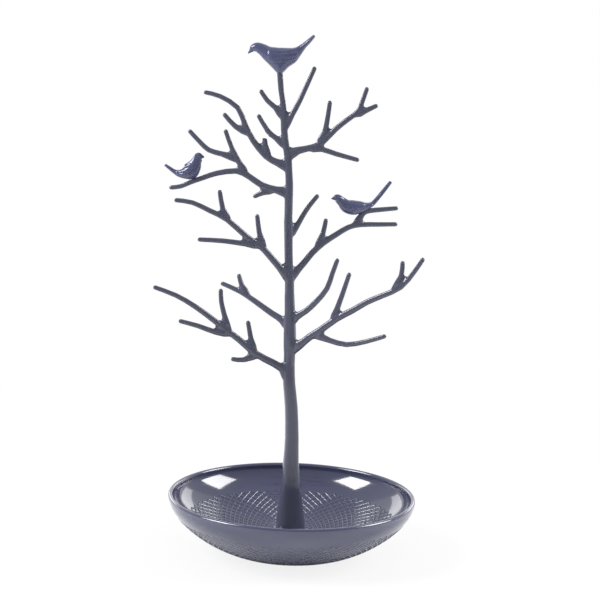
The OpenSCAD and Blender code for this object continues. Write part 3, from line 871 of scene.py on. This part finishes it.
def sweep_material(shade):
    """White to the camera and to reflections. Near the object the camera sees a share of the real
    shadow, and reflections see nearly the whole of it."""
    material = bpy.data.materials.new("Pale sweep")
    material.use_nodes = True
    tree = material.node_tree
    link = tree.links.new
    surface = fill(tree.nodes["Principled BSDF"], Base_Color=(0.86, 0.86, 0.87, 1), Roughness=0.7,
                   Specular_IOR_Level=0.1)
    white = add(tree, "ShaderNodeEmission", Color=(1, 1, 1, 1), Strength=1.0)
    rays = add(tree, "ShaderNodeLightPath")
    place = add(tree, "ShaderNodeTexCoord")
    away = add(tree, "ShaderNodeVectorMath", operation="LENGTH")
    link(place.outputs["Object"], away.inputs[0])
    share = add(tree, "ShaderNodeMath", operation="ADD")
    for i, (ray, near) in enumerate((("Is Camera Ray", 1 - shade), ("Is Glossy Ray", 0.1))):
        ramp = add(tree, "ShaderNodeMapRange", interpolation_type="SMOOTHSTEP",
                   From_Min=SHADOW_NEAR, From_Max=SHADOW_FAR, To_Min=near, To_Max=1.0)
        link(away.outputs["Value"], ramp.inputs["Value"])
        seen = add(tree, "ShaderNodeMath", operation="MULTIPLY")
        link(rays.outputs[ray], seen.inputs[0])
        link(ramp.outputs["Result"], seen.inputs[1])
        link(seen.outputs[0], share.inputs[i])
    both = add(tree, "ShaderNodeMixShader")
    link(share.outputs[0], both.inputs[0])
    link(surface.outputs[0], both.inputs[1])
    link(white.outputs[0], both.inputs[2])
    link(both.outputs[0], tree.nodes["Material Output"].inputs["Surface"])
    return material


def pale_sweep(shade):
    """A floor that curves up behind the object."""
    bend = 0.9
    profile = [(-0.5, 0.0)] + [(1.2 + bend * math.sin(a), bend - bend * math.cos(a))
                               for a in np.radians(np.linspace(0, 90, 24))] + [(2.1, 3.2)]
    points = [(x, y, z) for y, z in profile for x in (-3.0, 3.0)]
    faces = [[2 * i, 2 * i + 1, 2 * i + 3, 2 * i + 2] for i in range(len(profile) - 1)]
    sweep = bpy.data.objects.new("sweep", mesh_of(points, faces, "sweep"))
    bpy.context.scene.collection.objects.link(sweep)
    sweep.data.materials.append(sweep_material(shade))
    sweep.data.polygons.foreach_set("use_smooth", [True] * len(sweep.data.polygons))


def tent(front, back):
    """The room: bright behind the object, dim towards the camera, and white where it is seen."""
    world = bpy.data.worlds.new("Tent")
    bpy.context.scene.world = world
    world.use_nodes = True
    tree = world.node_tree
    link = tree.links.new
    background = fill(tree.nodes["Background"], Color=(1, 1, 1, 1))
    aim = add(tree, "ShaderNodeTexCoord")
    parts = add(tree, "ShaderNodeSeparateXYZ")
    link(aim.outputs["Generated"], parts.inputs[0])
    fade = add(tree, "ShaderNodeMapRange", interpolation_type="SMOOTHSTEP",
               From_Min=-0.7, From_Max=0.6, To_Min=front, To_Max=back)
    link(parts.outputs["Y"], fade.inputs["Value"])
    rays = add(tree, "ShaderNodeLightPath")
    level = add(tree, "ShaderNodeMix", data_type="FLOAT")
    link(rays.outputs["Is Camera Ray"], level.inputs["Factor"])
    link(fade.outputs["Result"], level.inputs[2])
    level.inputs[3].default_value = 1.0
    link(level.outputs[0], background.inputs["Strength"])


def softbox(name, strength, azimuth, elevation, width, height):
    """A softbox that looks at the object, by its angle right of the camera and above the table."""
    light = bpy.data.lights.new(name, "AREA")
    light.shape = "RECTANGLE"
    light.size, light.size_y = width, height
    light.energy = strength * width * height / LAMP_AREA
    lamp = bpy.data.objects.new(name, light)
    bpy.context.scene.collection.objects.link(lamp)
    a, e = math.radians(azimuth), math.radians(elevation)
    out = Vector((math.sin(a) * math.cos(e), -math.cos(a) * math.cos(e), math.sin(e)))
    lamp.location = LAMP_TARGET + LAMP_DISTANCE * out
    lamp.rotation_euler = (-out).to_track_quat("-Z", "Y").to_euler()
    lamp.visible_camera = False


class TREE_OT_stage(bpy.types.Operator):
    """Set up the pale sweep, the softboxes and the camera"""
    bl_idname = "tree.stage"
    bl_label = "Stage"

    def execute(self, context):
        scene, s = context.scene, context.scene.tree_stage
        scene.view_settings.view_transform = "Standard"
        pale_sweep(s.shade)
        tent(s.front, s.back)
        for name, azimuth, elevation, width, height, share in SOFTBOXES:
            softbox(name, share * s.lamp, azimuth, elevation, width, height)
        view = bpy.data.cameras.new("photo_view")
        view.lens, view.sensor_width = s.lens, 36
        view.clip_start, view.clip_end = 0.05, 20
        camera = bpy.data.objects.new("photo_view", view)
        scene.collection.objects.link(camera)
        camera.matrix_world = (Matrix.Translation(CAMERA_PLACE)
                               @ Matrix.Rotation(math.radians(90 - CAMERA_DOWN), 4, "X")
                               @ Matrix.Rotation(math.radians(CAMERA_ROLL), 4, "Z"))
        scene.camera = camera
        return {"FINISHED"}


class TREE_PT_panel(bpy.types.Panel):
    """A button for each step of the build"""
    bl_idname = "TREE_PT_panel"
    bl_label = "Jewelry tree"
    bl_space_type = "VIEW_3D"
    bl_region_type = "UI"
    bl_category = "Jewelry tree"

    def draw(self, context):
        for operator in OPERATORS:
            self.layout.operator(operator.bl_idname)


SETTINGS = {"tree_plastic": PlasticSettings, "tree_sizes": TreeSettings,
            "tree_dish": DishSettings, "tree_stage": StageSettings}
OPERATORS = (TREE_OT_stage, TREE_OT_dish, TREE_OT_lattice, TREE_OT_trunk_sections, TREE_OT_birds)


def register():
    for group in SETTINGS.values():
        bpy.utils.register_class(group)
    for operator in OPERATORS:
        bpy.utils.register_class(operator)
    bpy.utils.register_class(TREE_PT_panel)
    for name, group in SETTINGS.items():
        setattr(bpy.types.Scene, name, bpy.props.PointerProperty(type=group))


def unregister():
    for name in SETTINGS:
        delattr(bpy.types.Scene, name)
    bpy.utils.unregister_class(TREE_PT_panel)
    for operator in reversed(OPERATORS):
        bpy.utils.unregister_class(operator)
    for group in reversed(list(SETTINGS.values())):
        bpy.utils.unregister_class(group)


def main():
    register()
    bpy.ops.tree.stage()
    bpy.ops.tree.dish()
    bpy.ops.tree.lattice()
    bpy.ops.tree.trunk_sections()
    bpy.ops.tree.birds()


if __name__ == "__main__":
    main()
